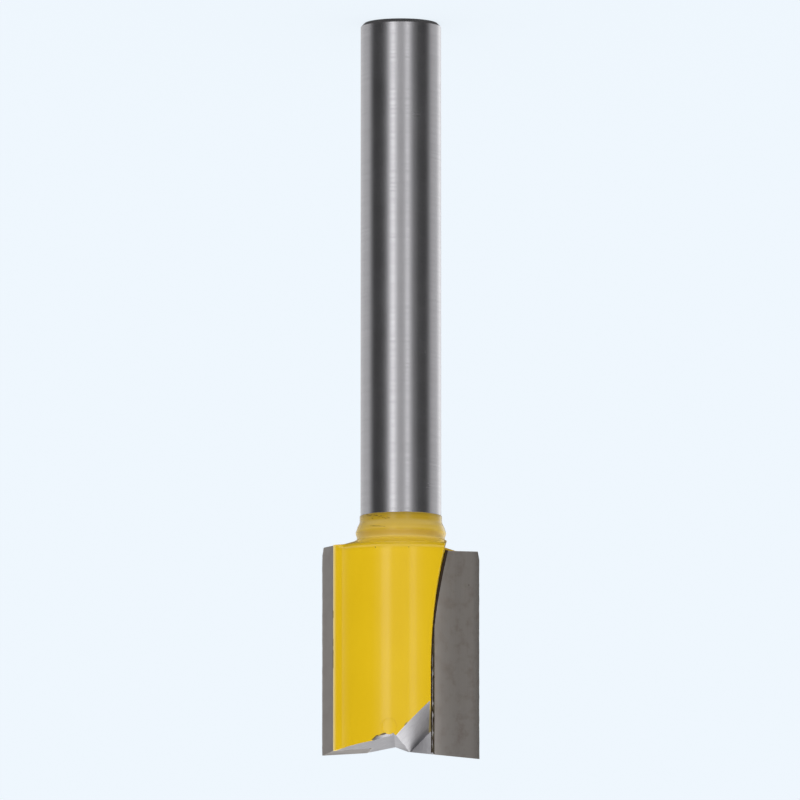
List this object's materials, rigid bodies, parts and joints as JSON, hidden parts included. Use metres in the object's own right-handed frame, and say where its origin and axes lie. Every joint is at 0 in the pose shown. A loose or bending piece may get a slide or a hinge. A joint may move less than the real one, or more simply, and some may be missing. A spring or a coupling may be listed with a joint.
{
  "type": "router bit",
  "caption": "Straight router bit with carbide tips brazed to a lacquered steel head, a ground cylindrical shank and relieved, gashed end edges.",
  "frame": {"origin": "centre of the flat shank end, where the bit stands", "axes": "+Z along the axis from the shank end to the cutting end, +X through one cutting corner, rake face of that tip towards +Y"},
  "size_m": [0.016, 0.0146, 0.0734],
  "materials": {
    "ground_steel": "centreless ground, satin",
    "tungsten_carbide": "fine ground, matt grey",
    "silver_braze": "dull, as brazed",
    "yellow_lacquer": "gloss"
  },
  "bodies": {
    "root": {"steel_body": "ground_steel", "carbide_tip_1": "tungsten_carbide", "carbide_tip_2": "tungsten_carbide", "braze_joint_1": "silver_braze", "braze_joint_2": "silver_braze", "enamel_coat": "yellow_lacquer"}
  },
  "joints": []
}
